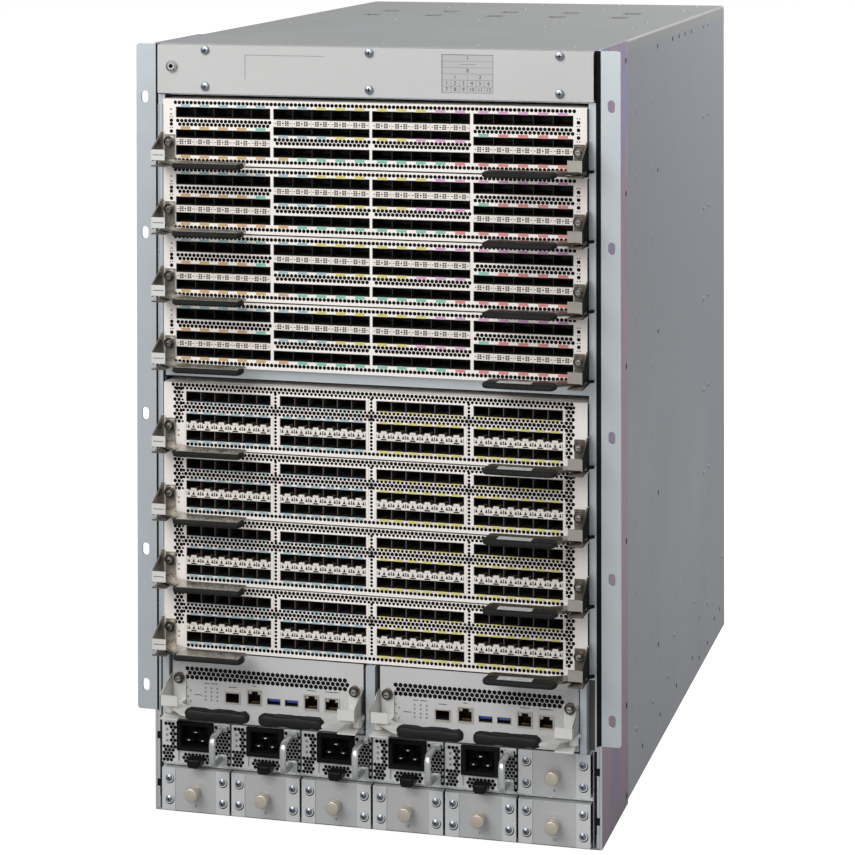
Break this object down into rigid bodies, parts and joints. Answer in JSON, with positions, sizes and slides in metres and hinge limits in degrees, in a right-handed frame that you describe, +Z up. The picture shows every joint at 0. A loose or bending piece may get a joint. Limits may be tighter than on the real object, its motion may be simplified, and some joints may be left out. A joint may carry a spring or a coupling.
{
  "type": "modular chassis switch",
  "caption": "Rack-mounted modular network chassis with pluggable line cards, management modules, power supplies and rear fan trays.",
  "frame": {"origin": "centre of the chassis footprint, on the surface it stands on", "axes": "+X to the right seen from the front, +Y from front to back, +Z up"},
  "size_m": [0.4826, 0.864, 0.753],
  "materials": {
    "sheet_grey": "satin",
    "zinc_sheet": "zinc plated, satin",
    "header_grey": "satin",
    "bright_steel": "polished",
    "board": "matte",
    "card_face": "satin",
    "lever_steel": "nickel plated, satin",
    "module_face": "satin",
    "supply_case": "satin",
    "filler_sheet": "satin",
    "black_plastic": "matte"
  },
  "bodies": {
    "chassis": {"top_cover": "sheet_grey", "base_pan": "sheet_grey", "side_panel_left": "sheet_grey", "side_panel_right": "sheet_grey", "rack_flange_left": "zinc_sheet", "rack_flange_right": "zinc_sheet", "header_panel": "header_grey", "header_screws": "bright_steel", "card_cage": "zinc_sheet", "power_shelf": "zinc_sheet", "midplane": "board", "fabric_modules": "board"},
    "line_card_1": {"line_card_1": "card_face"},
    "card_lever_1_left": {"card_lever_1_left": "lever_steel"},
    "card_lever_1_right": {"card_lever_1_right": "lever_steel"},
    "line_card_2": {"line_card_2": "card_face"},
    "card_lever_2_left": {"card_lever_2_left": "lever_steel"},
    "card_lever_2_right": {"card_lever_2_right": "lever_steel"},
    "line_card_3": {"line_card_3": "card_face"},
    "card_lever_3_left": {"card_lever_3_left": "lever_steel"},
    "card_lever_3_right": {"card_lever_3_right": "lever_steel"},
    "line_card_4": {"line_card_4": "card_face"},
    "card_lever_4_left": {"card_lever_4_left": "lever_steel"},
    "card_lever_4_right": {"card_lever_4_right": "lever_steel"},
    "line_card_5": {"line_card_5": "card_face"},
    "card_lever_5_left": {"card_lever_5_left": "lever_steel"},
    "card_lever_5_right": {"card_lever_5_right": "lever_steel"},
    "line_card_6": {"line_card_6": "card_face"},
    "card_lever_6_left": {"card_lever_6_left": "lever_steel"},
    "card_lever_6_right": {"card_lever_6_right": "lever_steel"},
    "line_card_7": {"line_card_7": "card_face"},
    "card_lever_7_left": {"card_lever_7_left": "lever_steel"},
    "card_lever_7_right": {"card_lever_7_right": "lever_steel"},
    "line_card_8": {"line_card_8": "card_face"},
    "card_lever_8_left": {"card_lever_8_left": "lever_steel"},
    "card_lever_8_right": {"card_lever_8_right": "lever_steel"},
    "management_module_1": {"management_module_1": "module_face"},
    "module_lever_1_left": {"module_lever_1_left": "lever_steel"},
    "module_lever_1_right": {"module_lever_1_right": "lever_steel"},
    "management_module_2": {"management_module_2": "module_face"},
    "module_lever_2_left": {"module_lever_2_left": "lever_steel"},
    "module_lever_2_right": {"module_lever_2_right": "lever_steel"},
    "power_supply_1": {"power_supply_1": "supply_case"},
    "power_supply_2": {"power_supply_2": "supply_case"},
    "power_supply_3": {"power_supply_3": "supply_case"},
    "power_supply_4": {"power_supply_4": "supply_case"},
    "power_supply_5": {"power_supply_5": "supply_case"},
    "bay_filler_1": {"bay_filler_1": "filler_sheet"},
    "bay_filler_2": {"bay_filler_2": "filler_sheet"},
    "bay_filler_3": {"bay_filler_3": "filler_sheet"},
    "bay_filler_4": {"bay_filler_4": "filler_sheet"},
    "bay_filler_5": {"bay_filler_5": "filler_sheet"},
    "bay_filler_6": {"bay_filler_6": "filler_sheet"},
    "bay_filler_7": {"bay_filler_7": "filler_sheet"},
    "fan_tray_left": {"fan_tray_left": "sheet_grey"},
    "fan_rotor_left_1": {"fan_rotor_left_1": "black_plastic"},
    "fan_rotor_left_2": {"fan_rotor_left_2": "black_plastic"},
    "fan_tray_right": {"fan_tray_right": "sheet_grey"},
    "fan_rotor_right_1": {"fan_rotor_right_1": "black_plastic"},
    "fan_rotor_right_2": {"fan_rotor_right_2": "black_plastic"}
  },
  "joints": [
    {"name": "line_card_1_slide", "type": "slide", "parent": "chassis", "child": "line_card_1", "axis": [0, -1, 0], "range_m": [0, 0.48]},
    {"name": "card_lever_1_left_swing", "type": "hinge", "parent": "line_card_1", "child": "card_lever_1_left", "pos_m": [-0.2085, -0.403, 0.6391], "axis": [0, 0, -1], "range_deg": [0, 65]},
    {"name": "card_lever_1_right_swing", "type": "hinge", "parent": "line_card_1", "child": "card_lever_1_right", "pos_m": [0.2085, -0.403, 0.6391], "axis": [0, 0, 1], "range_deg": [0, 65]},
    {"name": "line_card_2_slide", "type": "slide", "parent": "chassis", "child": "line_card_2", "axis": [0, -1, 0], "range_m": [0, 0.48]},
    {"name": "card_lever_2_left_swing", "type": "hinge", "parent": "line_card_2", "child": "card_lever_2_left", "pos_m": [-0.2085, -0.403, 0.5736], "axis": [0, 0, -1], "range_deg": [0, 65]},
    {"name": "card_lever_2_right_swing", "type": "hinge", "parent": "line_card_2", "child": "card_lever_2_right", "pos_m": [0.2085, -0.403, 0.5736], "axis": [0, 0, 1], "range_deg": [0, 65]},
    {"name": "line_card_3_slide", "type": "slide", "parent": "chassis", "child": "line_card_3", "axis": [0, -1, 0], "range_m": [0, 0.48]},
    {"name": "card_lever_3_left_swing", "type": "hinge", "parent": "line_card_3", "child": "card_lever_3_left", "pos_m": [-0.2085, -0.403, 0.5081], "axis": [0, 0, -1], "range_deg": [0, 65]},
    {"name": "card_lever_3_right_swing", "type": "hinge", "parent": "line_card_3", "child": "card_lever_3_right", "pos_m": [0.2085, -0.403, 0.5081], "axis": [0, 0, 1], "range_deg": [0, 65]},
    {"name": "line_card_4_slide", "type": "slide", "parent": "chassis", "child": "line_card_4", "axis": [0, -1, 0], "range_m": [0, 0.48]},
    {"name": "card_lever_4_left_swing", "type": "hinge", "parent": "line_card_4", "child": "card_lever_4_left", "pos_m": [-0.2085, -0.403, 0.4426], "axis": [0, 0, -1], "range_deg": [0, 65]},
    {"name": "card_lever_4_right_swing", "type": "hinge", "parent": "line_card_4", "child": "card_lever_4_right", "pos_m": [0.2085, -0.403, 0.4426], "axis": [0, 0, 1], "range_deg": [0, 65]},
    {"name": "line_card_5_slide", "type": "slide", "parent": "chassis", "child": "line_card_5", "axis": [0, -1, 0], "range_m": [0, 0.48]},
    {"name": "card_lever_5_left_swing", "type": "hinge", "parent": "line_card_5", "child": "card_lever_5_left", "pos_m": [-0.2085, -0.403, 0.3622], "axis": [0, 0, -1], "range_deg": [0, 65]},
    {"name": "card_lever_5_right_swing", "type": "hinge", "parent": "line_card_5", "child": "card_lever_5_right", "pos_m": [0.2085, -0.403, 0.3622], "axis": [0, 0, 1], "range_deg": [0, 65]},
    {"name": "line_card_6_slide", "type": "slide", "parent": "chassis", "child": "line_card_6", "axis": [0, -1, 0], "range_m": [0, 0.48]},
    {"name": "card_lever_6_left_swing", "type": "hinge", "parent": "line_card_6", "child": "card_lever_6_left", "pos_m": [-0.2085, -0.403, 0.2967], "axis": [0, 0, -1], "range_deg": [0, 65]},
    {"name": "card_lever_6_right_swing", "type": "hinge", "parent": "line_card_6", "child": "card_lever_6_right", "pos_m": [0.2085, -0.403, 0.2967], "axis": [0, 0, 1], "range_deg": [0, 65]},
    {"name": "line_card_7_slide", "type": "slide", "parent": "chassis", "child": "line_card_7", "axis": [0, -1, 0], "range_m": [0, 0.48]},
    {"name": "card_lever_7_left_swing", "type": "hinge", "parent": "line_card_7", "child": "card_lever_7_left", "pos_m": [-0.2085, -0.403, 0.2312], "axis": [0, 0, -1], "range_deg": [0, 65]},
    {"name": "card_lever_7_right_swing", "type": "hinge", "parent": "line_card_7", "child": "card_lever_7_right", "pos_m": [0.2085, -0.403, 0.2312], "axis": [0, 0, 1], "range_deg": [0, 65]},
    {"name": "line_card_8_slide", "type": "slide", "parent": "chassis", "child": "line_card_8", "axis": [0, -1, 0], "range_m": [0, 0.48]},
    {"name": "card_lever_8_left_swing", "type": "hinge", "parent": "line_card_8", "child": "card_lever_8_left", "pos_m": [-0.2085, -0.403, 0.1657], "axis": [0, 0, -1], "range_deg": [0, 65]},
    {"name": "card_lever_8_right_swing", "type": "hinge", "parent": "line_card_8", "child": "card_lever_8_right", "pos_m": [0.2085, -0.403, 0.1657], "axis": [0, 0, 1], "range_deg": [0, 65]},
    {"name": "management_module_1_slide", "type": "slide", "parent": "chassis", "child": "management_module_1", "axis": [0, -1, 0], "range_m": [0, 0.37]},
    {"name": "module_lever_1_left_swing", "type": "hinge", "parent": "management_module_1", "child": "module_lever_1_left", "pos_m": [-0.20015, -0.41, 0.112], "axis": [0, 0, -1], "range_deg": [0, 50]},
    {"name": "module_lever_1_right_swing", "type": "hinge", "parent": "management_module_1", "child": "module_lever_1_right", "pos_m": [-0.01055, -0.41, 0.112], "axis": [0, 0, 1], "range_deg": [0, 50]},
    {"name": "management_module_2_slide", "type": "slide", "parent": "chassis", "child": "management_module_2", "axis": [0, -1, 0], "range_m": [0, 0.37]},
    {"name": "module_lever_2_left_swing", "type": "hinge", "parent": "management_module_2", "child": "module_lever_2_left", "pos_m": [0.01055, -0.41, 0.112], "axis": [0, 0, -1], "range_deg": [0, 50]},
    {"name": "module_lever_2_right_swing", "type": "hinge", "parent": "management_module_2", "child": "module_lever_2_right", "pos_m": [0.20015, -0.41, 0.112], "axis": [0, 0, 1], "range_deg": [0, 50]},
    {"name": "power_supply_1_slide", "type": "slide", "parent": "chassis", "child": "power_supply_1", "axis": [0, -1, 0], "range_m": [0, 0.31]},
    {"name": "power_supply_2_slide", "type": "slide", "parent": "chassis", "child": "power_supply_2", "axis": [0, -1, 0], "range_m": [0, 0.31]},
    {"name": "power_supply_3_slide", "type": "slide", "parent": "chassis", "child": "power_supply_3", "axis": [0, -1, 0], "range_m": [0, 0.31]},
    {"name": "power_supply_4_slide", "type": "slide", "parent": "chassis", "child": "power_supply_4", "axis": [0, -1, 0], "range_m": [0, 0.31]},
    {"name": "power_supply_5_slide", "type": "slide", "parent": "chassis", "child": "power_supply_5", "axis": [0, -1, 0], "range_m": [0, 0.31]},
    {"name": "bay_filler_1_slide", "type": "slide", "parent": "chassis", "child": "bay_filler_1", "axis": [0, -1, 0], "range_m": [0, 0.055]},
    {"name": "bay_filler_2_slide", "type": "slide", "parent": "chassis", "child": "bay_filler_2", "axis": [0, -1, 0], "range_m": [0, 0.055]},
    {"name": "bay_filler_3_slide", "type": "slide", "parent": "chassis", "child": "bay_filler_3", "axis": [0, -1, 0], "range_m": [0, 0.055]},
    {"name": "bay_filler_4_slide", "type": "slide", "parent": "chassis", "child": "bay_filler_4", "axis": [0, -1, 0], "range_m": [0, 0.055]},
    {"name": "bay_filler_5_slide", "type": "slide", "parent": "chassis", "child": "bay_filler_5", "axis": [0, -1, 0], "range_m": [0, 0.055]},
    {"name": "bay_filler_6_slide", "type": "slide", "parent": "chassis", "child": "bay_filler_6", "axis": [0, -1, 0], "range_m": [0, 0.055]},
    {"name": "bay_filler_7_slide", "type": "slide", "parent": "chassis", "child": "bay_filler_7", "axis": [0, -1, 0], "range_m": [0, 0.055]},
    {"name": "fan_tray_left_slide", "type": "slide", "parent": "chassis", "child": "fan_tray_left", "axis": [0, 1, 0], "range_m": [0, 0.1]},
    {"name": "fan_rotor_left_1_spin", "type": "hinge", "parent": "fan_tray_left", "child": "fan_rotor_left_1", "pos_m": [-0.10975, 0.35, 0.26335], "axis": [0, 1, 0], "continuous": true},
    {"name": "fan_rotor_left_2_spin", "type": "hinge", "parent": "fan_tray_left", "child": "fan_rotor_left_2", "pos_m": [-0.10975, 0.35, 0.58135], "axis": [0, 1, 0], "continuous": true},
    {"name": "fan_tray_right_slide", "type": "slide", "parent": "chassis", "child": "fan_tray_right", "axis": [0, 1, 0], "range_m": [0, 0.1]},
    {"name": "fan_rotor_right_1_spin", "type": "hinge", "parent": "fan_tray_right", "child": "fan_rotor_right_1", "pos_m": [0.10975, 0.35, 0.26335], "axis": [0, 1, 0], "continuous": true},
    {"name": "fan_rotor_right_2_spin", "type": "hinge", "parent": "fan_tray_right", "child": "fan_rotor_right_2", "pos_m": [0.10975, 0.35, 0.58135], "axis": [0, 1, 0], "continuous": true}
  ]
}
